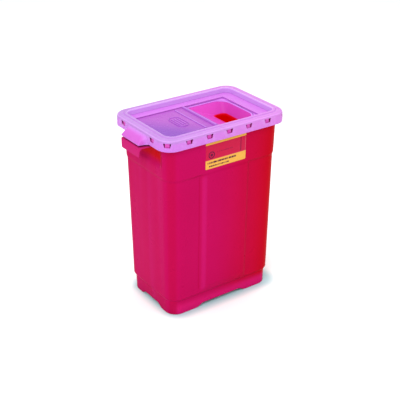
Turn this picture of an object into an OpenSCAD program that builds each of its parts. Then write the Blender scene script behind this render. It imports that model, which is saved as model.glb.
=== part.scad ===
// Floor-standing sharps container: a tall nestable tub, a translucent clip-on lid with a
// sliding door, and a drop chute under the lid's opening.
// Origin: centre of the footprint, on the floor. X runs along the long sides, Z is up.

/* [Overall] */
// Length of the lid along X, without its end aprons
lid_length = 480; // [464:1:500]
// Depth of the lid along Y
lid_depth = 327; // [322:1:340]
// Height from the floor to the top of the lid's ridge
total_height = 660; // [560:1:720]
// Corner radius of the lid in plan
lid_corner = 50; // [40:1:60]
// Distance from the middle to the outer face of a handle
handle_reach = 268; // [255:1:280]

/* [Walls] */
// Wall of the tub
tub_wall = 3; // [2.5:0.1:4]
// Wall of the lid
lid_wall = 3; // [2:0.1:3.5]
// Wall of the drop chute
chute_wall = 2.5; // [2:0.1:3]

/* [Tub] */
// Height of the set-in foot
foot_height = 55; // [40:1:70]
// Height of the arches between the four corner feet
arch_height = 12; // [6:1:16]
// Underside of the wide band that carries the label
band_low_z = 513; // [480:1:530]
// Half width of the proud panel on each long side
panel_half = 99; // [80:1:110]
// Width of the ramp at the panel's edge
panel_ramp = 16; // [8:1:24]
// Depth of the hand recess under each handle
recess_depth = 8; // [4:1:10]

/* [Lid] */
// Pitch of the snap windows along a long side
window_pitch = 76; // [70:1:80]
// Distance of an end's windows from the middle
window_end = 85; // [82:1:90]
// Width of a snap window at its top
window_top = 27; // [20:1:30]
// Width of a snap window at its bottom
window_bottom = 19; // [14:1:24]
// Length of the ridge rectangle along X
ridge_length = 424; // [418:1:426]
// Depth of the ridge rectangle along Y
ridge_depth = 274; // [262:1:276]
// Corner radius of the ridge
ridge_corner = 32; // [28:1:34]
// Length of the rails' rectangle in the floor of the well
well_length = 410; // [400:1:411]
// Depth of the rails' rectangle
well_depth = 232; // [226:1:236]
// Corner radius of the rails' rectangle
well_corner = 22; // [20:1:26]

/* [Door] */
// How far the door slides to close the opening
door_travel = 163; // [150:1:163]
// Thickness of the door plate
door_plate = 3; // [2.5:0.1:3]
// Gap between the door and the rails above and below it
door_gap = 0.5; // [0.4:0.1:0.5]

/* [Label] */
// Width of a label
label_width = 158; // [120:1:170]
// Height of a label
label_height = 94; // [60:1:95]
// Thickness of a label
label_sheet = 0.4; // [0.3:0.1:0.6]

/* [Hidden] */
$fn = 48;
slack = 1;

// Levels, all measured down from the top of the ridge
ridge_z = total_height;
rim_z = total_height - 2;
plate_z = rim_z - lid_wall;
skirt_z = total_height - 39;
rail_z = total_height - 18;
deck_z = total_height - 25;
tub_top = plate_z - 7;
bead_z = tub_top - 11;

// Outlines of the tub at its levels: length, depth and corner radius
foot_low = [410, 258, 42];
foot_top = [412, 261, 42];
body_low = [423, 272, 44];
body_top = [430, 291, 46];
band_low = [434, 297, 47];
rim_size = [440, 303, 48];
bead_size = [465, 315, 47];
floor_low = arch_height + 2;
body_low_z = foot_height + 7;
panel_low_z = foot_height + 30;
body_top_z = band_low_z - 8;
handle_out = handle_reach - bead_size[0] / 2;
shelf_drop = 25;
lip_depth = 29;
recess_low_z = band_low_z + 32;
recess_full_z = band_low_z + 49;
panel_top_out = 3;
panel_top_dip = 4;
panel_low_out = 4.5;
panel_low_dip = 2;
fillet = 8;

// The opening in the lid's deck and the slot at the foot of the chute
mouth_x = [2, 160];
mouth_half = 96;
mouth_corner = 45;
slot_x = [102, 147];
slot_half = 64;
slot_corner = 15;
chute_depth = 36;
throat = 6;
flange_edge_x = 165;

// The door's rails
rail_wide = 16;
groove_wide = 9.5;
door_back = -195;
door_front = 10;
door_half = well_depth / 2 - groove_wide - 0.7;
door_corner = 14;
lip_front = 0;

// The label sits on the sloping face of the band
label_low_z = band_low_z + 11;
label_centre = -4;
glue = 0.02;

function ease(t) = let(u = min(1, max(0, t))) u * u * (3 - 2 * u);
function blend(a, b, t) = a + (b - a) * t;
function band_size(z) = blend(band_low, rim_size, (z - band_low_z) / (tub_top - band_low_z));
function body_size(z) = blend(body_low, body_top, (z - body_low_z) / (body_top_z - body_low_z));

// Stations round a quarter of the tub, from the middle of a short end to the middle of a
// long side. Kind 0 is a fraction of the short side, 1 an angle, 2 a distance along X.
quarter = concat(
    [for (f = [0, 0.4, 0.46, 0.48, 0.5, 0.52, 0.54, 0.56, 0.595, 0.63, 0.75, 0.88, 0.98])
        [0, f]],
    [for (i = [0:8]) [1, i * 90 / 8]],
    [for (x = [125, panel_half, panel_half - panel_ramp / 3, panel_half - panel_ramp * 2 / 3,
        panel_half - panel_ramp, 60, 0]) [2, x]]);
count = len(quarter);

function spot(s, size) =
    s[0] == 0 ? [size[0] / 2, s[1] * (size[1] / 2 - size[2])] :
    s[0] == 1 ? [size[0] / 2 - size[2] + size[2] * cos(s[1]),
        size[1] / 2 - size[2] + size[2] * sin(s[1])] :
    [s[1], size[1] / 2];
function facing(s) = s[0] == 0 ? [1, 0] : s[0] == 1 ? [cos(s[1]), sin(s[1])] : [0, 1];

// How far a station belongs to the handle, to the part of the rim that drops down to it, to
// the handle's hanging lip, the hand recess, the panel and the foot's arch
function in_handle(s) = s[0] == 0 ? ease((0.54 - s[1]) / 0.06) : 0;
function in_drop(s) = s[0] == 0 ? ease((0.63 - s[1]) / 0.07) : 0;
function in_lip(s) = s[0] == 0 ? ease((0.5 - s[1]) / 0.04) : 0;
function in_recess(s) = s[0] == 0 ? ease((0.98 - s[1]) / 0.1) : 0;
function in_panel(s) = s[0] == 2 ? ease((panel_half - s[1]) / panel_ramp) : 0;
function in_dip(s) = s[0] != 2 ? 0 :
    s[1] > panel_half ? ease((163 - s[1]) / 64) : 1 - in_panel(s);
function in_arch(s, at) =
    s[0] == 0 ? ease((66 - at[1]) / 28) : s[0] == 2 ? ease((105 - s[1]) / 30) : 0;

// One level of the tub's wall: its outline, its height, and what bends it locally.
// grip is how far the handle goes out and down, and how far its lip hangs.
function level(size, z, out = 0, grip = [0, 0, 0], recess = 0, panel = [0, 0], arch = 0) =
    [for (s = quarter)
        let(at = spot(s, size), n = facing(s),
            push = out + grip[0] * in_handle(s) - recess * in_recess(s)
                + panel[0] * in_panel(s) - panel[1] * in_dip(s),
            lift = arch * in_arch(s, at) - grip[1] * in_drop(s) - grip[2] * in_lip(s))
        [at[0] + n[0] * push, at[1] + n[1] * push, z + lift]];

// The whole ring, as four mirrored quarters
function whole(q) = concat(
    [for (i = [0:count - 1]) q[i]],
    [for (i = [count - 2:-1:0]) [-q[i][0], q[i][1], q[i][2]]],
    [for (i = [1:count - 1]) [-q[i][0], -q[i][1], q[i][2]]],
    [for (i = [count - 2:-1:1]) [q[i][0], -q[i][1], q[i][2]]]);

low_panel = [panel_low_out, panel_low_dip];
top_panel = [panel_top_out, panel_top_dip];
shelf = [0, shelf_drop, 0];
shelf_edge = [handle_out, shelf_drop, 0];
lip = [handle_out, shelf_drop, lip_depth];
under_z = bead_z - 6;
under = [0, shelf_drop - tub_wall, 0];
under_edge = [handle_out, shelf_drop - tub_wall, 0];

tub_levels = [
    level(foot_low, floor_low + tub_wall, -tub_wall - fillet),
    level(foot_low, floor_low + tub_wall + fillet, -tub_wall),
    level(foot_top, foot_height, -tub_wall),
    level(body_low, body_low_z, -tub_wall),
    level(body_size(panel_low_z), panel_low_z, -tub_wall, panel = low_panel),
    level(body_top, body_top_z, -tub_wall, panel = top_panel),
    level(band_low, band_low_z, -tub_wall),
    level(band_size(recess_low_z), recess_low_z, -tub_wall),
    level(band_size(recess_full_z), recess_full_z, -tub_wall, recess = recess_depth),
    level(band_size(under_z), under_z + 2, -tub_wall, under, recess_depth),
    level(band_size(under_z + 7), under_z + 7, -tub_wall, under),
    level(rim_size, tub_top, -tub_wall),
    level(rim_size, tub_top),
    level(band_size(bead_z), bead_z, 0, shelf),
    level(bead_size, bead_z, 0, shelf_edge),
    level(bead_size, bead_z - 5, 0, lip),
    level(bead_size, bead_z - 5, -tub_wall, lip),
    level(bead_size, under_z, -tub_wall, under_edge),
    level(band_size(under_z), under_z, 0, under, recess_depth),
    level(band_size(recess_full_z), recess_full_z, 0, recess = recess_depth),
    level(band_size(recess_low_z), recess_low_z),
    level(band_low, band_low_z),
    level(body_top, body_top_z, panel = top_panel),
    level(body_size(panel_low_z), panel_low_z, panel = low_panel),
    level(body_low, body_low_z),
    level(foot_top, foot_height),
    level(foot_low, 0, arch = arch_height),
    level(foot_low, 0, -tub_wall - 1, arch = arch_height),
    level(foot_low, floor_low, -tub_wall - 3)];

// A closed solid from rings that run from the inside floor over the rim to the underside
module loft(levels) {
    rings = [for (l = levels) whole(l)];
    n = len(rings[0]);
    last = len(rings) - 1;
    sides = [for (k = [0:last - 1], i = [0:n - 1], half = [0, 1])
        let(j = (i + 1) % n)
        half == 0 ? [k * n + i, k * n + j, (k + 1) * n + j] :
            [k * n + i, (k + 1) * n + j, (k + 1) * n + i]];
    // Each end is closed by a fan round a point in its middle
    first_middle = (last + 1) * n;
    first_cap = [for (i = [0:n - 1]) [first_middle, (i + 1) % n, i]];
    last_cap = [for (i = [0:n - 1])
        [first_middle + 1, last * n + i, last * n + (i + 1) % n]];
    polyhedron(
        points = concat(
            [for (r = rings, p = r) p],
            [[0, 0, rings[0][0][2]], [0, 0, rings[last][0][2]]]),
        faces = concat(sides, first_cap, last_cap),
        convexity = 8);
}

module rounded(w, d, r) {
    square([w - 2 * r, d], center = true);
    square([w, d - 2 * r], center = true);
    for (x = [-1, 1], y = [-1, 1])
        translate([x * (w / 2 - r), y * (d / 2 - r)])
            circle(r);
}

// A flat plate with rounded corners
module plate(w, d, r, low, high) {
    translate([0, 0, low])
        linear_extrude(high - low)
            rounded(w, d, r);
}

// Sweeps a profile of [distance outwards, height] round a rounded rectangle
module sweep(w, d, r, profile) {
    for (x = [-1, 1], y = [-1, 1])
        translate([x * (w / 2 - r), y * (d / 2 - r), 0])
            rotate(x > 0 ? (y > 0 ? 0 : 270) : (y > 0 ? 90 : 180))
                rotate_extrude(angle = 90, $fn = 96)
                    translate([r, 0])
                        polygon(profile);
    for (turn = [0, 180]) {
        rotate(turn)
            translate([0, d / 2, 0])
                rotate([90, 0, 90])
                    linear_extrude(w - 2 * r, center = true)
                        polygon(profile);
        rotate(turn + 270)
            translate([0, w / 2, 0])
                rotate([90, 0, 90])
                    linear_extrude(d - 2 * r, center = true)
                        polygon(profile);
    }
}

// Places a child at every snap window, facing outwards from the skirt's outer face
module at_windows() {
    for (turn = [0, 180], k = [-2:2])
        rotate(turn)
            translate([k * window_pitch, -lid_depth / 2, 0])
                children();
    for (turn = [90, 270], k = [-1, 1])
        rotate(turn)
            translate([k * window_end, -lid_length / 2, 0])
                children();
    for (x = [-1, 1], y = [-1, 1])
        translate([x * (lid_length / 2 - lid_corner), y * (lid_depth / 2 - lid_corner), 0])
            rotate(x > 0 ? (y > 0 ? 135 : 45) : (y > 0 ? 225 : 315))
                translate([0, -lid_corner, 0])
                    children();
}

// A trapezoid hole, wider at its top, through the skirt
module window_hole() {
    rotate([90, 0, 0])
        linear_extrude(2 * lid_wall + 4, center = true)
            polygon([
                [-window_bottom / 2, skirt_z + 14],
                [window_bottom / 2, skirt_z + 14],
                [window_top / 2, skirt_z + 28],
                [-window_top / 2, skirt_z + 28]]);
}

// A springy tongue behind a window, which hooks under the tub's bead
module tongue() {
    rotate([90, 0, 90])
        linear_extrude(window_bottom - 4, center = true)
            polygon([
                [1.4, skirt_z + 31],
                [3.2, skirt_z + 27],
                [3.8, skirt_z + 9],
                [11, skirt_z + 6.5],
                [11, skirt_z + 8.5],
                [5.6, skirt_z + 10.2],
                [5.6, skirt_z + 31]]);
}

// The skirt with its rounded shoulder, as far as the flat rim
module skirt() {
    w = lid_wall;
    sweep(lid_length, lid_depth, lid_corner, [
        [0, skirt_z], [0, rim_z - 9], [-1.2, rim_z - 4.5], [-4, rim_z - 1.2],
        [-9, rim_z], [-20, rim_z], [-20, plate_z], [-8, plate_z],
        [-4.5, plate_z - 2], [-w, plate_z - 6], [-w, skirt_z]]);
}

// The ridge round the well, and the well's steep side
module ridge() {
    sweep(ridge_length, ridge_depth, ridge_corner, [
        [6, plate_z], [6, rim_z], [3.5, ridge_z - 0.6], [2, ridge_z], [-2, ridge_z],
        [-3.5, ridge_z - 0.6], [-6, rail_z], [-8, rail_z], [-8, rail_z - 3],
        [-3, rail_z - 3], [0, plate_z]]);
}

// The ledge in the well, whose inner edge is the rail that holds the door's edges down
module ledge() {
    difference() {
        plate(ridge_length - 14, ridge_depth - 14, ridge_corner - 7, rail_z - 3, rail_z);
        plate(well_length - 2 * rail_wide, well_depth - 2 * rail_wide, well_corner - rail_wide,
            rail_z - 3 - slack, rail_z + slack);
    }
    sweep(well_length, well_depth, well_corner, [
        [-4, rail_z - 1], [-groove_wide, rail_z - 1], [-groove_wide, deck_z - lid_wall],
        [-6, deck_z - lid_wall]]);
}

// One sloping end apron over a handle, open below, with closed cheeks
module apron() {
    inner_half = 58;
    outer_half = 52;
    start = lid_length / 2 - lid_wall + 0.5;
    low = skirt_z - 2;
    edge = low + 4;
    high = rim_z - 10;
    difference() {
        intersection() {
            rotate([90, 0, 0])
                linear_extrude(2 * inner_half + 2, center = true)
                    polygon([
                        [start, low], [handle_reach, low], [handle_reach, edge],
                        [lid_length / 2, high], [start, high]]);
            translate([0, 0, low - slack])
                linear_extrude(high - low + 2 * slack)
                    polygon([
                        [start, -inner_half], [handle_reach, -outer_half],
                        [handle_reach, outer_half], [start, inner_half]]);
        }
        intersection() {
            rotate([90, 0, 0])
                linear_extrude(2 * inner_half, center = true)
                    polygon([
                        [lid_length / 2, low - slack], [handle_reach - lid_wall, low - slack],
                        [handle_reach - lid_wall, edge - 1.3], [lid_length / 2, high - 4.3]]);
            translate([0, 0, low - 2 * slack])
                linear_extrude(high - low)
                    polygon([
                        [start, -inner_half + lid_wall], [handle_reach, -outer_half + lid_wall],
                        [handle_reach, outer_half - lid_wall], [start, inner_half - lid_wall]]);
        }
    }
}

// The opening's outline, square at the door's side and round at the far side
module mouth(grow = 0) {
    width = mouth_x[1] - mouth_x[0] + 2 * grow;
    half = mouth_half + grow;
    corner = mouth_corner + grow;
    translate([mouth_x[0] - grow, -half]) {
        square([width - corner, 2 * half]);
        translate([0, corner])
            square([width, 2 * (half - corner)]);
        for (y = [corner, 2 * half - corner])
            translate([width - corner, y])
                circle(corner);
    }
}

module slot(grow = 0) {
    width = slot_x[1] - slot_x[0];
    translate([(slot_x[0] + slot_x[1]) / 2, 0])
        rounded(width + 2 * grow, 2 * (slot_half + grow), slot_corner + grow);
}

module container() {
    color("crimson")
        loft(tub_levels);
}

module lid() {
    color([0.86, 0.6, 0.97, 0.8])
        difference() {
            union() {
                difference() {
                    skirt();
                    at_windows()
                        window_hole();
                }
                at_windows()
                    tongue();
                difference() {
                    plate(lid_length - 30, lid_depth - 30, lid_corner - 15, plate_z, rim_z);
                    plate(ridge_length + 6, ridge_depth + 6, ridge_corner + 3,
                        plate_z - slack, rim_z + slack);
                }
                ridge();
                ledge();
                difference() {
                    plate(well_length - 15, well_depth - 15, well_corner - 7.5,
                        deck_z - lid_wall, deck_z);
                    translate([0, 0, deck_z - lid_wall - slack])
                        linear_extrude(lid_wall + 2 * slack)
                            mouth();
                }
                translate([flange_edge_x, -well_depth / 2 + rail_wide - 2, rail_z - 3])
                    cube([well_length / 2 - rail_wide + 2 - flange_edge_x,
                        well_depth - 2 * rail_wide + 4, 3]);
                apron();
                rotate(180)
                    apron();
            }
            gasket_ring(5, deck_z - 1.5, deck_z + slack);
        }
}

// The groove round the opening, and the seal that fills it
module gasket_ring(wide, low, high) {
    translate([0, 0, low])
        linear_extrude(high - low)
            difference() {
                mouth(3 + wide);
                mouth(3);
            }
}

module drop_chute() {
    top = deck_z - lid_wall;
    bottom = deck_z - lid_wall - chute_depth;
    color([0.88, 0.32, 0.8, 0.8])
        difference() {
            union() {
                translate([0, 0, top - 2])
                    linear_extrude(2)
                        mouth(9);
                hull() {
                    translate([0, 0, top - 2])
                        linear_extrude(2)
                            mouth(chute_wall);
                    translate([0, 0, bottom])
                        linear_extrude(1)
                            slot(chute_wall);
                }
                translate([0, 0, bottom - throat])
                    linear_extrude(throat + 1)
                        slot(chute_wall);
            }
            hull() {
                translate([0, 0, top - 1])
                    linear_extrude(2)
                        mouth();
                translate([0, 0, bottom])
                    linear_extrude(1)
                        slot();
            }
            translate([0, 0, bottom - throat - slack])
                linear_extrude(throat + 2 * slack)
                    slot();
        }
}

module slide_door() {
    low = deck_z + door_gap;
    high = low + door_plate;
    middle = (door_back + door_front) / 2;
    color([0.68, 0.42, 0.8, 0.8]) {
        translate([middle, 0, 0])
            intersection() {
                plate(door_front - door_back, 2 * door_half, 4, low, high);
                translate([door_corner, 0, 0])
                    plate(door_front - door_back + 2 * door_corner, 2 * door_half,
                        door_corner, low, high);
            }
        // Tall lip along the leading edge, which stops against the far rail
        translate([lip_front - 8, 0, high - 0.5])
            rotate([90, 0, 0])
                linear_extrude(2 * (door_half - 9), center = true)
                    polygon([[0, 0], [1.5, 6.5], [5, 7], [8, 0]]);
        // Low rib behind the lip
        translate([-43, 0, high - 0.5])
            rotate([90, 0, 0])
                linear_extrude(2 * (door_half - 14), center = true)
                    polygon([[0, 0], [2, 3], [5, 3], [7, 0]]);
        // Oval finger grip with three bars
        translate([-84, 0, high - 0.5]) {
            linear_extrude(3)
                difference() {
                    rounded(44, 84, 20);
                    rounded(38, 78, 17);
                }
            for (x = [-10, 0, 10])
                translate([x, 0, 0])
                    linear_extrude(3)
                        rounded(4, 56, 1.9);
        }
    }
}

module rim_gasket() {
    color("dimgray")
        difference() {
            plate(rim_size[0], rim_size[1], rim_size[2], tub_top, plate_z);
            plate(rim_size[0] - 10, rim_size[1] - 10, rim_size[2] - 5,
                tub_top - slack, plate_z + slack);
        }
}

module door_gasket() {
    color("dimgray")
        gasket_ring(5, deck_z - 1.5, deck_z + 0.1);
}

// A thin sheet on the band's sloping face, at Y = -1 or +1
module label(side) {
    low = band_size(label_low_z)[1] / 2;
    high = band_size(label_low_z + label_height)[1] / 2;
    rotate(side < 0 ? 0 : 180)
        translate([label_centre * -side, 0, 0])
            rotate([90, 0, 90])
                linear_extrude(label_width, center = true)
                    polygon([
                        [-low - glue, label_low_z], [-high - glue, label_low_z + label_height],
                        [-high - label_sheet, label_low_z + label_height],
                        [-low - label_sheet, label_low_z]]);
}

module front_label() {
    color("goldenrod")
        label(-1);
}

module rear_label() {
    color("goldenrod")
        label(1);
}

container();
lid();
drop_chute();
slide_door();
rim_gasket();
door_gasket();
front_label();
rear_label();
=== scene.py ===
"""Looks of the floor-standing sharps container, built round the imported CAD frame.

Lengths are in millimetres, in the meshes and in the masks of the materials, and MM turns
them into metres. The camera, the lights and subsurface radii are in metres, and the scales
of the noises are per metre. X runs along the long sides, -Y is the front, Z is up, and the
floor is at Z = 0.
"""

import math

import bmesh
import bpy
import numpy as np
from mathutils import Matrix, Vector


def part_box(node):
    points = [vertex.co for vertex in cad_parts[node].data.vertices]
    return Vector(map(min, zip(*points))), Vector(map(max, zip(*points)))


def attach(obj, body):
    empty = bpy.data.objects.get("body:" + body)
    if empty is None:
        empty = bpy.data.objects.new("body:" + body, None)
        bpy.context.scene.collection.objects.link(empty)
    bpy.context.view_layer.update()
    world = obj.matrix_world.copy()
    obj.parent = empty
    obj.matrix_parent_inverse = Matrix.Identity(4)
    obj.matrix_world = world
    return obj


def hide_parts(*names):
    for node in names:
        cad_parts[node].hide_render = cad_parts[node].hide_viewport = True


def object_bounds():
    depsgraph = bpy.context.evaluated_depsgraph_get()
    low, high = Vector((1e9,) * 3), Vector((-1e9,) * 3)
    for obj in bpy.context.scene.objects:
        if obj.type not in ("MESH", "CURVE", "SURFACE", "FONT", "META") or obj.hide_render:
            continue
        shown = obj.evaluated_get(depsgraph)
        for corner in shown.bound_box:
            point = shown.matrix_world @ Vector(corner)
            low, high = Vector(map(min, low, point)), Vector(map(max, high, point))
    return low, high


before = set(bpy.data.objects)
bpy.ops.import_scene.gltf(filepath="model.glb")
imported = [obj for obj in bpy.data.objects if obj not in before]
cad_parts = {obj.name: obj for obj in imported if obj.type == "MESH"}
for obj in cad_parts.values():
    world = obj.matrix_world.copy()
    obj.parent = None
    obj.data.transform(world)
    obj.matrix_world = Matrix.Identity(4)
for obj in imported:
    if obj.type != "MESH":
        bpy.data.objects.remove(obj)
cad_low, cad_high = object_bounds()

# ---------------------------------------------------------------- sizes, as in the CAD

MM = 0.001
WALL = 3.0  # wall of the tub and of the lid

# Heights, from the lid's top down to the floor
LID_TOP = round(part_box("lid")[1].z / MM, 3)
RIM_Z = LID_TOP - 2  # flat rim outside the ridge
PLATE_Z = RIM_Z - 3  # underside of that rim
RAIL_Z = LID_TOP - 18  # ledge over the door's edges
DECK_Z = LID_TOP - 25  # deck under the door
SKIRT_Z = LID_TOP - 39  # lower edge of the skirt
TUB_TOP = PLATE_Z - 7
BEAD_Z = TUB_TOP - 11  # top of the bead that the tongues reach under
CHUTE_TOP = DECK_Z - WALL
CHUTE_FOOT = CHUTE_TOP - 36  # where the chute's throat begins
BAND_Z = 513.0  # foot of the band that carries the label
BODY_Z = (62.0, 505.0)  # ends of the tall body
FOOT_Z = 55.0  # top of the foot
ARCH = 12.0  # height of the gaps between the corner feet

# Sections of the tub: width, depth and corner radius
FOOT_LOW, FOOT_TOP = (410, 258, 42), (412, 261, 42)
BODY_LOW, BODY_TOP = (423, 272, 44), (430, 291, 46)
BAND_LOW, RIM_SIZE, BEAD = (434, 297, 47), (440, 303, 48), (465, 315, 47)

REACH = round(cad_high.x / MM, 3)  # from the middle to the end of a grip
PANEL_HALF, PANEL_RAMP = 99.0, 16.0  # proud panel on each long side, and its sloping edge

# Sections of the lid: width, depth and corner radius
LID_SIZE, RIDGE_SIZE, WELL_SIZE = (480, 327, 50), (424, 274, 32), (410, 232, 22)

# The door's flat top, under its lip, rib and grip
DOOR_THICK = 3
DOOR_PLATE = round(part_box("slide_door")[0].z / MM, 3) + DOOR_THICK


def blend(a, b, t):
    return tuple(x + (y - x) * t for x, y in zip(a, b))


def band_size(z):
    return blend(BAND_LOW, RIM_SIZE, (z - BAND_Z) / (TUB_TOP - BAND_Z))


def body_size(z):
    return blend(BODY_LOW, BODY_TOP, (z - BODY_Z[0]) / (BODY_Z[1] - BODY_Z[0]))


def ease(t):
    u = np.clip(t, 0, 1)
    return u * u * (3 - 2 * u)


# ---------------------------------------------------------------- mesh helpers


def finish_mesh(name, verts, faces, body, material, node, bevel=0.0):
    """A smooth-shaded piece that rides on body and stands for the CAD node."""
    mesh = bpy.data.meshes.new(name)
    mesh.from_pydata((np.asarray(verts, float) * MM).tolist(), [], faces)
    bm = bmesh.new()
    bm.from_mesh(mesh)
    bmesh.ops.remove_doubles(bm, verts=bm.verts, dist=0.02 * MM)
    bmesh.ops.dissolve_degenerate(bm, edges=bm.edges, dist=0.01 * MM)
    bmesh.ops.recalc_face_normals(bm, faces=bm.faces)
    bm.to_mesh(mesh)
    bm.free()
    obj = bpy.data.objects.new(name, mesh)
    bpy.context.scene.collection.objects.link(obj)
    mesh.materials.append(material)
    for polygon in mesh.polygons:
        polygon.use_smooth = True
    if bevel:
        modifier = obj.modifiers.new("edges", "BEVEL")
        modifier.width = bevel * MM
        modifier.segments = 2
        modifier.limit_method = "ANGLE"
        modifier.angle_limit = math.radians(50)
        modifier.harden_normals = True
    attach(obj, body)
    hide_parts(node)


def joined(parts):
    """One mesh's points and faces from several pairs of them."""
    verts, faces, offset = [], [], 0
    for points, part_faces in parts:
        verts.append(points)
        faces += [tuple(offset + i for i in face) for face in part_faces]
        offset += len(points)
    return np.concatenate(verts), faces


def ring_faces(count, rings, cyclic=False):
    """Quads between successive closed rings of count points. cyclic joins last to first."""
    pairs = [(r * count, (r + 1) % rings * count) for r in range(rings if cyclic else rings - 1)]
    return [
        (a + i, a + (i + 1) % count, b + (i + 1) % count, b + i)
        for a, b in pairs
        for i in range(count)
    ]


def rounded_chain(chain, cyclic=False):
    """Rounds a chain of (ring, fillet) at each ring. Returns the rings and each one's place."""
    steps = 4
    out, place, n = [], [], len(chain)
    for k, (ring, fillet) in enumerate(chain):
        place.append(len(out))
        if not fillet or (not cyclic and k in (0, n - 1)):
            out.append(ring)
            continue

        def cut(neighbour):
            step = neighbour - ring
            length = np.linalg.norm(step, axis=1, keepdims=True)
            return ring + step * np.minimum(0.48, fillet / np.maximum(length, 1e-6))

        a, b = cut(chain[k - 1][0]), cut(chain[(k + 1) % n][0])
        for t in np.linspace(0, 1, steps + 1):
            out.append(a * (1 - t) ** 2 + 2 * ring * t * (1 - t) + b * t * t)
    return out, place


def rect(width, depth, radius):
    """A rounded rectangle round the origin, in the form that outline() takes."""
    return (-width / 2, width / 2, -depth / 2, depth / 2, (radius,) * 4)


def outline(base, places, grow=0.0):
    """Points of a rounded rectangle (x0, x1, y0, y1, four radii) at places, grown outwards,
    and its normals there. Place 2k + t is on side k and 2k + 1 + u on the corner after it,
    from the +X side towards +Y."""
    x0, x1, y0, y1, radii = base
    r = np.array(radii, float)
    centre = np.array(
        [
            (x1 - r[0], y1 - r[0]),
            (x0 + r[1], y1 - r[1]),
            (x0 + r[2], y0 + r[2]),
            (x1 - r[3], y0 + r[3]),
        ]
    )
    p = np.asarray(places, float)
    side = (np.floor(p / 2).astype(int)) % 4
    on_corner = (p % 2) >= 1
    t = p % 1
    angle = (side + np.where(on_corner, t, 0)) * math.pi / 2
    normal = np.stack([np.cos(angle), np.sin(angle)], 1)
    last = (side + 3) % 4
    start = centre[last] + r[last][:, None] * normal
    end = centre[side] + r[side][:, None] * normal
    straight = start + (end - start) * t[:, None]
    point = np.where(on_corner[:, None], end, straight)
    return point + normal * grow, normal


def places_round(on_side, on_corner):
    """Places all round an outline, with so many on each side and on each corner."""
    side, corner = (np.arange(count) / count for count in (on_side, on_corner))
    return np.concatenate([2 * k + np.concatenate([side, 1 + corner]) for k in range(4)])


def at_height(points, z):
    return np.column_stack([points, np.broadcast_to(z, len(points))])


# ---------------------------------------------------------------- node helpers


class Graph:
    """A material's node tree, with short ways to write sums in it."""

    def __init__(self, name):
        self.material = bpy.data.materials.new(name)
        self.material.use_nodes = True
        self.tree = self.material.node_tree
        self.shader = self.tree.nodes["Principled BSDF"]

    def node(self, kind, **values):
        made = self.tree.nodes.new("ShaderNode" + kind)
        for key, value in values.items():
            setattr(made, key, value)
        return made

    def plug(self, socket, value):
        if isinstance(value, bpy.types.NodeSocket):
            self.tree.links.new(value, socket)
        else:
            socket.default_value = value

    def set(self, **values):
        for key, value in values.items():
            self.plug(self.shader.inputs[key.replace("_", " ")], value)

    def math(self, operation, *values, clamp=False):
        made = self.node("Math", operation=operation, use_clamp=clamp)
        for socket, value in zip(made.inputs, values):
            self.plug(socket, value)
        return made.outputs[0]

    def times(self, *values):
        product = values[0]
        for value in values[1:]:
            product = self.math("MULTIPLY", product, value)
        return product

    def add(self, a, b):
        return self.math("ADD", a, b)

    def minus(self, a, b):
        return self.math("SUBTRACT", a, b)

    def size(self, value):
        return self.math("ABSOLUTE", value)

    def most(self, *values):
        largest = values[0]
        for value in values[1:]:
            largest = self.math("MAXIMUM", largest, value)
        return largest

    def length(self, a, b):
        return self.math("SQRT", self.add(self.times(a, a), self.times(b, b)))

    def remap(self, value, low, high, to_low=0.0, to_high=1.0):
        """Goes smoothly from to_low to to_high as value goes from low to high."""
        made = self.node("MapRange", clamp=True, interpolation_type="SMOOTHSTEP")
        for socket, item in zip(made.inputs, (value, low, high, to_low, to_high)):
            self.plug(socket, item)
        return made.outputs[0]

    def band(self, value, low, high, soft):
        """1 between low and high, and 0 outside, with edges softened by soft."""
        rise = self.remap(value, low - soft, low + soft)
        return self.times(rise, self.remap(value, high + soft, high - soft))

    def line(self, value, place, half, soft):
        """1 within half of place, fading to 0 over soft."""
        return self.remap(self.size(self.minus(value, place)), half + soft, half)

    def inset(self, x, y, size):
        """How far inside a rounded rectangle of (width, depth, radius) the point is."""
        width, depth, radius = size
        qx = self.minus(self.size(x), width / 2 - radius)
        qy = self.minus(self.size(y), depth / 2 - radius)
        corner = self.length(self.most(qx, 0.0), self.most(qy, 0.0))
        side = self.math("MINIMUM", self.most(qx, qy), 0.0)
        return self.minus(radius, self.add(corner, side))

    def coords(self, scale=(1, 1, 1)):
        mapping = self.node("Mapping")
        self.plug(mapping.inputs["Vector"], self.node("TexCoord").outputs["Object"])
        mapping.inputs["Scale"].default_value = scale
        return mapping.outputs[0]

    def split(self, vector):
        made = self.node("SeparateXYZ")
        self.plug(made.inputs[0], vector)
        return made.outputs

    def axes(self):
        """X, Y and Z on the object, in millimetres."""
        return self.split(self.coords((1 / MM,) * 3))

    def noise(self, scale, detail=3.0, stretch=(1, 1, 1), rough=0.5):
        made = self.node("TexNoise")
        self.plug(made.inputs["Vector"], self.coords(stretch))
        made.inputs["Scale"].default_value = scale
        made.inputs["Detail"].default_value = detail
        made.inputs["Roughness"].default_value = rough
        return made.outputs["Fac"]

    def mix(self, factor, a, b):
        made = self.node("Mix", data_type="RGBA", blend_type="MIX")
        self.plug(made.inputs[0], factor)
        for socket, colour in zip(made.inputs[6:8], (a, b)):
            self.plug(socket, (*colour, 1) if isinstance(colour, tuple) else colour)
        return made.outputs[2]

    def paint(self, colour, *layers):
        """The colour with layers of (factor, colour) over it, the last on top."""
        for factor, over in layers:
            colour = self.mix(factor, colour, over)
        return colour

    def bump(self, height, distance, strength=1.0, before=None):
        made = self.node("Bump")
        made.inputs["Strength"].default_value = strength
        made.inputs["Distance"].default_value = distance * MM
        self.plug(made.inputs["Height"], height)
        if before is not None:
            self.plug(made.inputs["Normal"], before)
        return made.outputs[0]


# ---------------------------------------------------------------- materials


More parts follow.
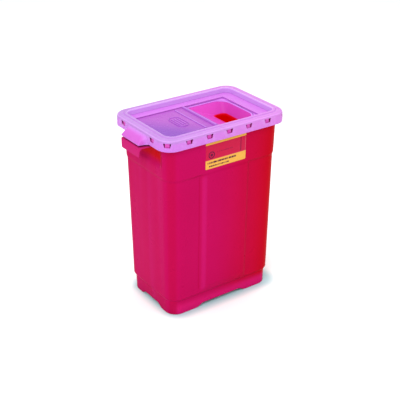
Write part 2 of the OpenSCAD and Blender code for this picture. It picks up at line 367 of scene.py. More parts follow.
def moulded(g, shades, worn, roughness, specular, tint, scuff=0.2, rub=0.15, **extra):
    """Moulded plastic: uneven pigment, flow marks, orange peel, scuffs and rubbed edges.

    shades are the plain colour, a darker one and a lighter one.
    """
    base, dark, light = shades
    cloud = g.remap(g.noise(4.5, 4), 0.3, 0.7)
    flow = g.remap(g.noise(9, 3, (1, 1, 0.12)), 0.35, 0.68)
    fleck = g.remap(g.noise(1400, 1), 0.55, 0.8)
    scratch = g.remap(g.noise(60, 6, (1, 1, 0.2), 0.75), 0.62, 0.72)
    patch = g.remap(g.noise(7, 3), 0.52, 0.68)
    scuffs = g.times(scratch, patch, scuff)
    point = g.node("NewGeometry").outputs["Pointiness"]
    edge = g.times(g.remap(point, 0.52, 0.64), g.remap(g.noise(90, 4), 0.3, 0.7))
    worn_part = g.math("MAXIMUM", g.times(edge, rub), scuffs, clamp=True)
    colour = g.paint(
        base,
        (g.times(cloud, 0.55), dark),
        (g.times(flow, 0.35), light),
        (g.times(fleck, 0.06), dark),
        (worn_part, worn),
    )
    rough = g.remap(g.noise(22, 5), 0.3, 0.75, roughness - 0.05, roughness + 0.07)
    rough = g.math("ADD", rough, g.times(worn_part, 0.25), clamp=True)
    peel = g.bump(g.noise(160, 2), 0.35, 0.35)
    grain = g.bump(g.noise(1500, 2), 0.1, 0.25, peel)
    lines = g.bump(scratch, 0.1, 0.3, grain)
    g.set(Base_Color=colour, Roughness=rough, Normal=lines)
    g.set(Specular_IOR_Level=specular, Specular_Tint=(*tint, 1), **extra)
    return g.material


def tub_plastic():
    """Crimson at the left, turning to a plain red at the right as painted shade. A painted red
    glow inside stands in for daylight.
    """
    g = Graph("tub_plastic")
    x, y, z = g.axes()
    nx, ny, _ = g.split(g.node("NewGeometry").outputs["Normal"])
    across, along = g.size(x), g.size(y)

    # Which way the surface faces: to an end, to the front or rear, or halfway at a corner,
    # and outwards (positive) or into the tub
    end = g.remap(g.size(nx), 0.75, 0.97)
    front = g.remap(g.size(ny), 0.5, 0.9)
    corner = g.remap(g.size(g.times(nx, ny)), 0.30, 0.50)
    outwards = g.add(g.times(nx, x), g.times(ny, y))

    # Painted shade: how far the colour has turned from crimson to red, as the light falls off
    # towards the right
    turn = g.add(g.remap(x, -60, 100, 0.0, 0.55), g.remap(x, 80, 215, 0.0, 0.45))

    # Painted shade and highlight at the panel's left edge only, seen from the front and from
    # behind:
    # a dark line beside the panel and a light stripe on its ramp
    left_hand = g.remap(g.times(x, y), 0, 5000)
    groove = g.times(g.band(across, PANEL_HALF, PANEL_HALF + 3.5, 2.2), g.band(z, 80, 500, 10))
    painted_edge_highlight = g.times(g.band(across, 76, 93, 4), g.band(z, 75, 500, 10))
    # Painted light: the foot is painted lighter on the front and rear
    foot = g.remap(z, FOOT_Z - 3, FOOT_Z - 33)
    # Painted shade in the crease under the band and, fainter, along the top of the foot
    low_crease = g.times(g.band(z, FOOT_Z, FOOT_Z + 5, 3), 0.3)
    crease = g.most(g.band(z, BODY_Z[1] - 0.5, BAND_Z - 1.5, 3), low_crease)
    # Painted highlight: the grips' outer faces painted lighter and pinker
    grip_face = g.remap(across, 231, 240)
    # Painted shade: a dark line down each edge of the hand recesses
    recess_edge_shade = g.times(
        g.band(along, 101.0, 104.5, 2), g.band(z, 553, 606, 6), g.remap(across, 190, 200)
    )
    # Painted shadow in the hand recesses under the lid's skirt, with a faint painted glow
    recess = g.times(
        g.remap(z, 548, 578), g.remap(across, 220.0, 216.5), g.remap(along, 106, 96), end
    )
    # Painted highlight: light upright streaks low on the ends, on the crimson side
    highlight_streaks = g.remap(g.noise(22, 1, (0, 1, 0.02)), 0.45, 0.7)
    highlight_streaks = g.times(end, g.remap(turn, 0.5, 0.1), highlight_streaks, g.remap(z, 600, 550))
    crease_shade = g.mix(turn, (0.350, 0.002, 0.058), (0.310, 0.001, 0.003))
    grip_highlight = g.mix(turn, (0.47, 0.026, 0.190), (0.43, 0.006, 0.030))
    shades = [
        g.paint(
            left,
            (turn, right),
            # Painted light: the foot lighter on the front and rear
            (g.times(foot, front, 0.9), (0.56, 0.0085, 0.125)),
            # Painted shade on the corners halfway between an end and a side, on the left half
            (g.times(corner, g.remap(x, 100, 0), 0.8), (0.385, 0.003, 0.048)),
            # Painted highlight: the light stripe on the ramp at the panel's left edge
            (g.times(painted_edge_highlight, left_hand, 0.8), (0.445, 0.007, 0.108)),
            (g.times(highlight_streaks, 0.5), (0.43, 0.008, 0.112)),
            # Painted shade: the dark line beside the panel's left edge
            (g.times(groove, left_hand, 0.8), (0.350, 0.002, 0.040)),
            (g.times(crease, 0.5), crease_shade),
            (g.times(recess, 0.95), red),
            (g.times(grip_face, 0.45), grip_highlight),
            (g.times(recess_edge_shade, 0.85), (0.26, 0.001, 0.02)),
        )
        # red is the painted shadow colour of the hand recesses
        for left, right, red in (
            ((0.412, 0.0035, 0.074), (0.410, 0.0020, 0.0045), (0.37, 0.0010, 0.003)),
            ((0.388, 0.0025, 0.062), (0.385, 0.0015, 0.0035), (0.34, 0.0005, 0.002)),
            ((0.435, 0.0045, 0.088), (0.430, 0.0025, 0.0070), (0.39, 0.0010, 0.004)),
        )
    ]
    # Painted glow: the inner walls near the top, and faintly the hand recesses, give off red light
    inside = g.times(g.remap(outwards, -20, -40), g.remap(z, 400, 520))
    glow = g.add(g.times(inside, 0.85), g.times(recess, 0.15))
    g.set(Emission_Color=(0.50, 0.0, 0.0, 1), Emission_Strength=glow)
    return moulded(
        g,
        shades,
        worn=(0.50, 0.012, 0.11),
        roughness=0.32,
        specular=0.01,
        tint=(1.0, 0.1, 0.4),
        scuff=0.1,
        rub=0.0,
        Metallic=0.15,
    )


def lid_plastic():
    """Lilac, bluer on the flat rim, pinker where the tub shines through, with painted shade and
    light.
    """
    g = Graph("lid_plastic")
    x, y, z = g.axes()
    depth, ridge = g.inset(x, y, LID_SIZE), g.inset(x, y, RIDGE_SIZE)
    hood = g.remap(depth, -2, -16)
    low = g.remap(z, LID_TOP - 6, LID_TOP - 18)
    pink = g.times(g.remap(x, -220, 160), 0.6)
    # Painted shade in the windows over the recessed tongues, with the tub's magenta seen through
    # them
    window = g.times(g.remap(depth, 0.9, 1.8), g.remap(z, LID_TOP - 8.5, LID_TOP - 9.5))
    window = g.times(window, g.remap(depth, 13, 12))
    # Painted highlight along the crest of the lid's outer shoulder
    shoulder = g.times(g.line(depth, 3.0, 0.8, 1.8), g.remap(z, LID_TOP - 8, LID_TOP - 5))

    # Inside the ridge: the ledge and deck, the steep wall above them, painted paler as light, the
    # step in that wall, and the lines along its foot and along the ridge's own, painted as shade
    # lines
    well = g.remap(ridge, 3, 7)
    wall = g.times(g.remap(ridge, 0.5, 3.5), g.remap(z, RAIL_Z + 0.5, RAIL_Z + 2))
    step = g.times(wall, g.line(z, LID_TOP - 6.5, 0.6, 1.5))
    foot = g.most(g.line(ridge, -7.5, 1.2, 1.6), g.line(ridge, 6.2, 1.2, 2))
    shades = [
        g.paint(
            rim,
            (low, skirt),
            (pink, (0.53, 0.160, 0.53)),
            (g.times(well, 0.7), (0.44, 0.13, 0.53)),
            (g.times(hood, 0.85), (0.46, 0.082, 0.44)),
            (wall, (0.52, 0.33, 0.64)),
            (g.times(step, 0.6), (0.40, 0.13, 0.52)),
            (g.times(foot, 0.6), (0.33, 0.10, 0.46)),
            (g.times(shoulder, 0.35), (0.62, 0.32, 0.72)),
            (window, (0.52, 0.040, 0.36)),
        )
        for rim, skirt in (
            ((0.370, 0.180, 0.485), (0.475, 0.155, 0.570)),
            ((0.340, 0.155, 0.455), (0.445, 0.135, 0.540)),
            ((0.405, 0.215, 0.515), (0.510, 0.180, 0.600)),
        )
    ]
    # Painted glow under the rails and, fainter, on the well's wall, lifting the shade there
    under_rails = g.times(g.remap(ridge, 2, 8), g.remap(z, RAIL_Z - 2.5, RAIL_Z - 3.5))
    glow = g.times(g.most(under_rails, g.times(wall, 0.5)), 0.55)
    g.set(Emission_Color=(0.32, 0.09, 0.40, 1), Emission_Strength=glow)
    return moulded(
        g,
        shades,
        worn=(0.60, 0.38, 0.72),
        roughness=0.32,
        specular=0.14,
        tint=(0.9, 0.8, 1.0),
        Subsurface_Weight=0.1,
        Subsurface_Radius=(0.006, 0.003, 0.007),
        Subsurface_Scale=1.0,
    )


def door_plastic():
    """Violet at the closed end of the well, as painted shade, pinker towards the opening, with
    painted highlight and shade on the grip.
    """
    g = Graph("door_plastic")
    x, y, z = g.axes()
    # Painted shade: darker violet towards the closed end, the shade under the door seen through it
    turn = g.remap(g.add(x, g.times(y, 0.9)), -220, -60)
    # Painted highlight on the tops of the lip, rib and grip, and painted shade on their slopes
    raised_highlight = g.remap(z, DOOR_PLATE + 1.0, DOOR_PLATE + 2.0)
    rise = g.remap(z, DOOR_PLATE + 0.1, DOOR_PLATE + 0.5)
    edge = g.times(rise, g.remap(z, DOOR_PLATE + 1.7, DOOR_PLATE + 1.1))
    shades = [
        g.paint(
            violet,
            (turn, pink),
            (g.times(raised_highlight, 0.7), (0.42, 0.16, 0.58)),
            (g.times(edge, 0.8), (0.17, 0.03, 0.30)),
        )
        for violet, pink in (
            ((0.190, 0.045, 0.355), (0.330, 0.068, 0.400)),
            ((0.165, 0.036, 0.325), (0.290, 0.050, 0.350)),
            ((0.230, 0.066, 0.400), (0.380, 0.105, 0.460)),
        )
    ]
    return moulded(
        g, shades, worn=(0.50, 0.30, 0.62), roughness=0.27, specular=0.18, tint=(0.9, 0.8, 1.0)
    )


def chute_plastic():
    """Bright magenta, with the tub's red showing through the thin throat, painted in with a
    painted glow.
    """
    g = Graph("chute_plastic")
    # The throat is painted dark red and given a painted glow
    throat = g.remap(g.axes()[2], CHUTE_FOOT + 3.5, CHUTE_FOOT + 1)
    shades = [
        g.mix(throat, colour, (0.40, 0.0015, 0.008))
        for colour in ((0.53, 0.046, 0.40), (0.48, 0.036, 0.35), (0.58, 0.070, 0.46))
    ]
    g.set(Emission_Color=(0.50, 0.0, 0.0, 1), Emission_Strength=g.times(throat, 0.6))
    return moulded(
        g,
        shades,
        worn=(0.66, 0.22, 0.60),
        roughness=0.34,
        specular=0.1,
        tint=(1.0, 0.6, 1.0),
        Subsurface_Weight=0.1,
        Subsurface_Radius=(0.01, 0.003, 0.008),
        Subsurface_Scale=1.0,
    )


def rubber():
    """Lilac silicone, a little dusty."""
    g = Graph("gasket_rubber")
    dust = g.remap(g.noise(40, 5), 0.4, 0.75)
    g.set(
        Base_Color=g.mix(g.times(dust, 0.4), (0.36, 0.13, 0.48), (0.42, 0.20, 0.54)),
        Roughness=g.remap(dust, 0, 1, 0.5, 0.7),
        Specular_IOR_Level=0.25,
        Normal=g.bump(g.noise(900, 3), 0.2, 0.5),
    )
    return g.material


def printed_label():
    """Generic printed fields: crimson ground, two amber strips, a plain ring and dashes."""
    g = Graph("label_print")
    x, y, z = g.axes()
    # u runs to the reader's right from the label's middle, on the front and on the rear
    middle_x = -4
    u = g.times(g.minus(x, middle_x), g.times(g.math("SIGN", y), -1.0))
    soft = 0.35

    def box(u0, u1, z0, z1):
        return g.times(g.band(u, u0, u1, soft), g.band(z, z0, z1, soft))

    def dashes(z0, z1, u0, u1, pitch, seed):
        """A row of plain marks of uneven length."""
        place = g.math("DIVIDE", u, pitch)
        cell = g.node("TexWhiteNoise", noise_dimensions="1D")
        g.plug(cell.inputs["W"], g.add(g.math("FLOOR", place), seed))
        length = g.remap(cell.outputs["Value"], 0, 1, 0.5, 0.95)
        mark = g.math("LESS_THAN", g.math("FRACT", place), length)
        return g.times(mark, box(u0, u1, z0, z1))

    def ring(radius, width):
        """A ring round the middle of the field's plain symbol."""
        far = g.length(g.minus(u, -56), g.minus(z, 571))
        return g.band(far, radius - width / 2, radius + width / 2, soft)

    grain = g.noise(260, 4)
    crimson = g.mix(g.remap(grain, 0.3, 0.7, 0, 0.5), (0.455, 0.0095, 0.050), (0.41, 0.007, 0.040))
    amber = g.mix(g.remap(grain, 0.3, 0.7, 0, 0.6), (0.68, 0.36, 0.062), (0.62, 0.30, 0.048))
    strips = g.most(box(-80, 80, 524, 554), box(-80, 80, 607, 619))
    pale_lines = g.most(box(76, 77.4, 556, 602), box(-80, 80, 554.6, 555.6))
    marks = g.most(
        ring(10.5, 3.2),
        ring(3.0, 4.0),
        g.times(dashes(576, 579, -36, 26, 7, 3), 0.5),
        g.times(box(57, 60, 558, 606), 0.85),
        dashes(541.5, 548, -74, 40, 5.5, 11),
        dashes(530, 535, -66, 12, 4.2, 29),
    )
    wear = g.remap(g.noise(45, 6, rough=0.7), 0.66, 0.76)
    colour = g.paint(
        crimson,
        (strips, amber),
        (g.times(pale_lines, 0.5), (0.58, 0.16, 0.20)),
        (marks, (0.07, 0.006, 0.035)),
        (g.times(wear, 0.35), (0.6, 0.45, 0.36)),
    )
    g.set(
        Base_Color=colour,
        Roughness=g.remap(g.noise(30, 4), 0.3, 0.7, 0.34, 0.5),
        Normal=g.bump(grain, 0.12, 0.4),
        Specular_IOR_Level=0.08,
        Specular_Tint=(1.0, 0.5, 0.6, 1),
    )
    return g.material


def floor_paint():
    """Pale floor with a painted soft shadow round the object's foot."""
    g = Graph("floor")
    x, y, _ = g.axes()
    shade_x, shade_size = 13, (340, 190, 0)
    # Painted shadow round the foot, reaching further to the right
    under = g.remap(g.inset(g.minus(x, shade_x), y, shade_size), -82, -34)
    pale = g.mix(g.remap(g.noise(1.2, 3), 0.3, 0.7), (0.90, 0.93, 0.93), (0.92, 0.945, 0.945))
    g.set(
        Base_Color=g.mix(under, pale, (0.42, 0.60, 0.63)),
        Roughness=0.75,
        Normal=g.bump(g.noise(300, 3), 0.2, 0.1),
        Specular_IOR_Level=0.2,
    )
    return g.material


TUB = tub_plastic()
LID = lid_plastic()
DOOR = door_plastic()
CHUTE = chute_plastic()
RUBBER = rubber()
PRINT = printed_label()

# ---------------------------------------------------------------- tub

# A quarter of the tub's outline: SHORT along half an end, from 0 in its middle to 1 at the
# corner, ARC round the corner in degrees, and LONG as the distance from a long side's middle.
# The points gather where a handle, a hand recess or the panel ends.
SHORT = np.concatenate(
    [[0, 0.2, 0.36], np.linspace(0.45, 0.65, 17), [0.7, 0.78], np.linspace(0.86, 0.99, 8)]
)
ARC = np.linspace(0, 90, 15)
LONG = np.concatenate(
    [
        [150, 135, 120, 108],
        np.linspace(PANEL_HALF, PANEL_HALF - PANEL_RAMP, 11),
        [74, 60, 45, 30, 15, 0],
    ]
)


def fill(short, arc, long):
    """Joins the values on the three stretches of the quarter."""
    parts = [np.broadcast_to(v, s.shape) for v, s in ((short, SHORT), (arc, ARC), (long, LONG))]
    return np.concatenate(parts)


def on_end(edge, ramp):
    """1 in the middle of an end, falling to 0 over ramp before edge."""
    return fill(ease((edge - SHORT) / ramp), 0, 0)


IN_HANDLE, IN_DROP, IN_LIP = on_end(0.54, 0.06), on_end(0.63, 0.07), on_end(0.50, 0.04)
IN_RECESS = on_end(0.99, 0.13)
ON_PANEL = ease((PANEL_HALF - LONG) / PANEL_RAMP)
IN_PANEL = fill(0, 0, ON_PANEL)
IN_DIP = fill(0, 0, np.where(LONG > PANEL_HALF, ease((163 - LONG) / 64), 1 - ON_PANEL))
BOW_LONG = np.minimum(LONG / PANEL_HALF, 1)
BOW_SHAPE = fill(np.cos(SHORT * math.pi / 2) ** 2, 0, np.cos(BOW_LONG * math.pi / 2))
ANGLE = np.radians(fill(0, ARC, 90))
NORMAL = np.stack([np.cos(ANGLE), np.sin(ANGLE)], 1)


def mirrored(q):
    """A whole ring from its quarter, which runs from the middle of an end to a long side's."""
    flip_x, flip_y = np.array([-1, 1, 1]), np.array([1, -1, 1])
    return np.concatenate([q, q[-2::-1] * flip_x, q[1:] * flip_x * flip_y, q[-2:0:-1] * flip_y])


def level(size, z, out=0.0, grip=(0, 0, 0), recess=0.0, panel=(0, 0), arch=0.0, bow=0.0):
    """One ring round the tub at height z, moved outwards by out.

    grip is how far a handle stands out, how far its shelf drops and how far its lip hangs.
    recess is the depth of the hand recess in each end, panel is how proud the panel is and
    how deep the dip beside it, arch is the height of the gaps between the feet, and bow is
    how far the flat sides bulge.
    """
    w, d, r = size
    x = fill(w / 2, w / 2 - r + r * np.cos(np.radians(ARC)), LONG)
    y = fill(SHORT * (d / 2 - r), d / 2 - r + r * np.sin(np.radians(ARC)), d / 2)
    push = out + grip[0] * IN_HANDLE - recess * IN_RECESS + bow * BOW_SHAPE
    push = push + panel[0] * IN_PANEL - panel[1] * IN_DIP
    end_arch, side_arch = ease((66 - y) / 28), ease((105 - x) / 30)
    in_arch = fill(end_arch[: len(SHORT)], 0, side_arch[-len(LONG) :])
    xy = np.stack([x, y], 1) + NORMAL * push[:, None]
    lift = arch * in_arch - grip[1] * IN_DROP - grip[2] * IN_LIP
    return mirrored(np.column_stack([xy, z + lift]))


def body_levels(out):
    """The tall body's rings and fillets. It has a slight bow, and its panel flattens upwards."""
    low, high = FOOT_Z + 30, BODY_Z[1]
    made = []
    for t in np.linspace(0, 1, 9):
        z = low + (high - low) * t
        panel = blend((4.5, 2), (3, 4), t)
        ring = level(body_size(z), z, out, panel=panel, bow=1.6 * math.sin(math.pi * t))
        made.append((ring, 5 if t in (0, 1) else 0))
    return made


def build_tub():
    """A closed shell: up the inside, over the rim and the grips, and down the outside."""
    floor = ARCH + 2
    shelf, lip, out = 25, 29, REACH - BEAD[0] / 2
    under = BEAD_Z - 6
    recess_low, recess_high, recess = BAND_Z + 32, BAND_Z + 49, 8
    w = WALL
    chain = [
        (level(FOOT_LOW, floor + w, -w - 9), 0),
        (level(FOOT_LOW, floor + w, -w), 8),
        (level(FOOT_TOP, FOOT_Z, -w), 3),
        (level(BODY_LOW, BODY_Z[0], -w), 3),
        *body_levels(-w),
        (level(BAND_LOW, BAND_Z, -w), 3),
        (level(band_size(recess_low), recess_low, -w), 6),
        (level(band_size(recess_high), recess_high, -w, recess=recess), 6),
        (level(band_size(under), under + 2, -w, (0, shelf - w, 0), recess), 3),
        (level(band_size(under + 7), under + 7, -w, (0, shelf - w, 0)), 3),
        (level(RIM_SIZE, TUB_TOP, -w), 1.2),
        (level(RIM_SIZE, TUB_TOP), 1.2),
        (level(band_size(BEAD_Z), BEAD_Z, 0, (0, shelf, 0)), 2.5),
        (level(BEAD, BEAD_Z, 0, (out, shelf, 0)), 4),
        (level(BEAD, BEAD_Z - 5, 0, (out, shelf, lip)), 1.2),
        (level(BEAD, BEAD_Z - 5, -w, (out, shelf, lip)), 1.2),
        (level(BEAD, under, -w, (out, shelf - w, 0)), 3),
        (level(band_size(under), under, 0, (0, shelf - w, 0), recess), 3),
        (level(band_size(recess_high), recess_high, recess=recess), 9),
        (level(band_size(recess_low), recess_low), 9),
        (level(BAND_LOW, BAND_Z), 3),
        *reversed(body_levels(0)),
        (level(BODY_LOW, BODY_Z[0]), 3),
        (level(FOOT_TOP, FOOT_Z), 3),
        (level(FOOT_LOW, 0, arch=ARCH), 3),
        (level(FOOT_LOW, 0, -w - 1, arch=ARCH), 1.5),
        (level(FOOT_LOW, floor, -w - 3), 2),
        (level(FOOT_LOW, floor, -w - 12), 0),
    ]
    rings, _ = rounded_chain(chain)
    count = len(rings[0])
    verts = np.concatenate(rings)
    faces = ring_faces(count, len(rings))
    # A fan of triangles closes each end of the chain in the floor
    for first in (0, len(verts) - count):
        middle = len(verts)
        verts = np.vstack([verts, [[0, 0, verts[first][2]]]])
        faces += [(middle, first + i, first + (i + 1) % count) for i in range(count)]
    finish_mesh("tub", verts, faces, "bin", TUB, "container")


# ---------------------------------------------------------------- lid

LID_RECT, RIDGE, WELL = rect(*LID_SIZE), rect(*RIDGE_SIZE), rect(*WELL_SIZE)
MOUTH = (2, 160, -96, 96, (45, 0.6, 0.6, 45))  # opening in the deck
SLOT = (102, 147, -64, 64, (15, 15, 15, 15))  # the chute's throat
FLANGE_X = 165.0  # where the ledge ends, past the opening

# Windows in the skirt: five on each long side, two on each end and one on each corner
PITCH, END_PLACE, HALF_WINDOW, TAPER = 76.0, 85.0, 11.5, 2.0
SIDE_WINDOWS = [k * PITCH for k in range(-2, 3)]
END_WINDOWS = [-END_PLACE, END_PLACE]
WINDOW_Z = (SKIRT_Z + 14, SKIRT_Z + 28)
WINDOW_POINTS = 5

# Section of the springy tongue behind a window: depth behind the skirt's face, and height
# above the skirt's lower edge. The places across its width follow, and how much smaller the
# section is at the outer two.
TONGUE = [(1.6, 30), (3.2, 27.2), (3.6, 19), (3.9, 9), (6.8, 7.7), (11, 6.5)]
TONGUE += [(11, 8.5), (7.2, 9.6), (5.7, 10.2), (5.7, 19), (5.7, 30)]
TONGUE_SIDES = (-7.5, -6.6, 6.6, 7.5)
TONGUE_ENDS = np.array([0.8, 0.8, 0.93])


def lid_places():
    """Places round the lid, and each window's middle, half width and taper, as places too."""
    width, depth, radius = LID_SIZE
    places, windows = [], []
    for side in range(4):
        length = (width if side % 2 else depth) - 2 * radius
        half, taper = HALF_WINDOW / length, TAPER / length
        middles = [c / length + 0.5 for c in (SIDE_WINDOWS if side % 2 else END_WINDOWS)]
        windows += [(2 * side + m, half, taper) for m in middles]
        between = [np.linspace(a + half, b - half, 5)[1:-1] for a, b in zip(middles, middles[1:])]
        places += [2 * side, *(2 * side + np.concatenate(between))]
        arc = radius * math.pi / 2
        half, taper = HALF_WINDOW / arc, TAPER / arc
        windows.append((2 * side + 1.5, half, taper))
        before, after = np.linspace(0, 0.5 - half, 6)[:-1], np.linspace(0.5 + half, 1, 6)[1:-1]
        places += [*(2 * side + 1 + before), *(2 * side + 1 + after)]
    for middle, half, _ in windows:
        places += list(middle + np.linspace(-half, half, WINDOW_POINTS))
    return np.unique(np.round(places, 9)), windows


def lid_shell(places, windows):
    """Skirt, rim, ridge, ledge and deck as one closed loop of rings, with its windows cut."""
    n = len(places)
    slide = np.zeros(n)
    spans = []
    for middle, half, taper in windows:
        first = int(np.argmin(np.abs(places - (middle - half))))
        spans.append((first, first + WINDOW_POINTS - 1))
        slide[first : first + WINDOW_POINTS] = np.linspace(-taper, taper, WINDOW_POINTS)

    def ring(base, grow, z, lean=0, limit=math.inf):
        """lean slides the windows' sides apart, and limit is the furthest X."""
        xy, _ = outline(base, places + slide * lean, grow)
        xy[:, 0] = np.minimum(xy[:, 0], limit)
        return at_height(xy, z)

    w = WALL
    chain = [
        (ring(LID_RECT, 0, WINDOW_Z[0], -1), 0),
        (ring(LID_RECT, -0.5, WINDOW_Z[1], 1), 0),
        (ring(LID_RECT, -1.8, RIM_Z - 4.6), 2.5),
        (ring(LID_RECT, -5.2, RIM_Z - 0.9), 3),
        (ring(LID_RECT, -11, RIM_Z), 3),
        (ring(RIDGE, 6.5, RIM_Z), 1.5),
        (ring(RIDGE, 3.2, LID_TOP), 1.6),
        (ring(RIDGE, -3.2, LID_TOP), 1.6),
        (ring(RIDGE, -6, RAIL_Z), 1.5),
        (ring(WELL, -16, RAIL_Z, limit=FLANGE_X), 0.9),
        (ring(WELL, -16, RAIL_Z - w, limit=FLANGE_X), 0.9),
        (ring(WELL, -9.5, RAIL_Z - w), 0),
        (ring(WELL, -9.5, DECK_Z), 1),
        (ring(MOUTH, 8, DECK_Z), 0),
        (ring(MOUTH, 8, DECK_Z - 1.5), 0),
        (ring(MOUTH, 3, DECK_Z - 1.5), 0),
        (ring(MOUTH, 3, DECK_Z), 0),
        (ring(MOUTH, 0, DECK_Z), 1),
        (ring(MOUTH, 0, DECK_Z - w), 0.5),
        (ring(WELL, -6, DECK_Z - w), 1),
        (ring(WELL, -4, RAIL_Z - w), 1),
        (ring(RIDGE, -3, RAIL_Z - w), 1),
        (ring(RIDGE, 0, PLATE_Z), 1),
        (ring(LID_RECT, -8, PLATE_Z), 2),
        (ring(LID_RECT, -4.5, PLATE_Z - 2), 1),
        (ring(LID_RECT, -w, WINDOW_Z[1], 1), 0),
        (ring(LID_RECT, -w, WINDOW_Z[0], -1), 0),
        (ring(LID_RECT, -w, SKIRT_Z), 0.9),
        (ring(LID_RECT, 0, SKIRT_Z), 0.9),
    ]
    rings, place = rounded_chain(chain, cyclic=True)
    out_low, out_high, in_high, in_low = (place[k] * n for k in (0, 1, -4, -3))
    in_window = [i for a, b in spans for i in range(a, b)]
    cut = {start + i for start in (out_low, in_high) for i in in_window}
    faces = [f for k, f in enumerate(ring_faces(n, len(rings), cyclic=True)) if k not in cut]
    for a, b in spans:
        for i in range(a, b):
            for outer, inner in ((out_low, in_low), (out_high, in_high)):
                faces.append((outer + i, outer + i + 1, inner + i + 1, inner + i))
        for i in (a, b):
            faces.append((out_low + i, out_high + i, in_high + i, in_low + i))
    return np.concatenate(rings), faces


def tongue(middle):
    """The springy tongue behind the window whose middle is at this place."""
    (centre,), (normal,) = outline(LID_RECT, [middle])
    along = np.array([-normal[1], normal[0]])
    sections = [
        np.array([[*(centre - normal * depth + along * side), SKIRT_Z + z] for depth, z in TONGUE])
        for side in TONGUE_SIDES
    ]
    for k in (0, -1):
        core = sections[k].mean(0)
        sections[k] = core + (sections[k] - core) * TONGUE_ENDS
    m = len(TONGUE)
    ends = [tuple(range(m)), tuple(range(3 * m, 4 * m))]
    return np.concatenate(sections), ring_faces(m, len(sections)) + ends


def apron(turn):
    """A sloping hood over a handle: a shell with a straight lower edge and two cheeks."""
    low, high = SKIRT_Z - 2, RIM_Z - 10
    start, shoulder, edge = 238.0, 240.0, 4.0
    span, rise = REACH - shoulder, high - low - edge
    slope = [
        (shoulder + span * t, high - rise * t**1.6) for t in (0.15, 0.3, 0.45, 0.6, 0.75, 0.88)
    ]
    outer = [(start, high + 1.5), (shoulder, high + 0.4), *slope]
    outer += [(REACH - 0.7, low + edge + 0.6), (REACH, low + edge - 1.6), (REACH, low)]
    inner = [(start, high - 3), (shoulder, high - 4), *((x - 2.2, z - 2.4) for x, z in slope)]
    inner += [(REACH - WALL, low + edge - 2), (REACH - WALL, low + 1), (REACH - WALL, low)]

    def section(x, z, inset, radius):
        """Half width flares towards the skirt, and the cheeks' upper corners are round."""
        t = (x - start) / (REACH - start)
        h = 52 + 5.5 * (1 - t) + 5 * (1 - t) ** 4 - inset
        r = min(radius, max((z - low) * 0.85, 0.02))
        turns = np.linspace(0, math.pi / 2, 9)
        right = [(h, low), (h, (low + z - r) / 2)]
        right += [(h - r + r * math.cos(a), z - r + r * math.sin(a)) for a in turns]
        return np.array([(x, y, q) for y, q in right] + [(x, -y, q) for y, q in right[::-1]])

    rings = [
        np.concatenate([section(*out, 0, 20), section(*into, WALL, 17)[::-1]])
        for out, into in zip(outer, inner)
    ]
    m = len(rings[0])
    quads = ring_faces(m, len(rings))
    for base in (0, (len(rings) - 1) * m):
        last = base + m - 1
        quads += [(base + i, base + i + 1, last - 1 - i, last - i) for i in range(m // 2 - 1)]
    return np.concatenate(rings) * np.array([turn, turn, 1]), quads


def build_lid():
    places, windows = lid_places()
    parts = [lid_shell(places, windows)]
    parts += [tongue(middle) for middle, _, _ in windows]
    parts += [apron(turn) for turn in (1, -1)]
    verts, faces = joined(parts)
    finish_mesh("lid_shell", verts, faces, "bin", LID, "lid", bevel=0.5)


def build_chute():
    """A funnel from the mouth in the deck down to the narrow throat."""
    places = places_round(8, 12)
    wall, throat, flange, slopes = 2.5, 6, 8.8, (0.2, 0.4, 0.6, 0.8)

    def ring(base, grow, z):
        return at_height(outline(base, places, grow)[0], z)

    def between(t, grow):
        return ring(MOUTH, grow, CHUTE_TOP) * (1 - t) + ring(SLOT, grow, CHUTE_FOOT) * t

    chain = [
        (ring(MOUTH, flange, CHUTE_TOP), 0.6),
        (ring(MOUTH, 0.2, CHUTE_TOP), 1.5),
        *[(between(t, 0), 0) for t in slopes],
        (ring(SLOT, 0, CHUTE_FOOT), 3),
        (ring(SLOT, 0, CHUTE_FOOT - throat), 0.9),
        (ring(SLOT, wall, CHUTE_FOOT - throat), 0.9),
        (ring(SLOT, wall, CHUTE_FOOT), 3),
        *[(between(t, wall), 0) for t in reversed(slopes)],
        (ring(MOUTH, wall, CHUTE_TOP - 2), 1.5),
        (ring(MOUTH, flange, CHUTE_TOP - 2), 0.6),
    ]
    rings, _ = rounded_chain(chain, cyclic=True)
    faces = ring_faces(len(places), len(rings), cyclic=True)
    verts = np.concatenate(rings)
    finish_mesh("chute", verts, faces, "bin", CHUTE, "drop_chute")


# ---------------------------------------------------------------- door, seal and labels


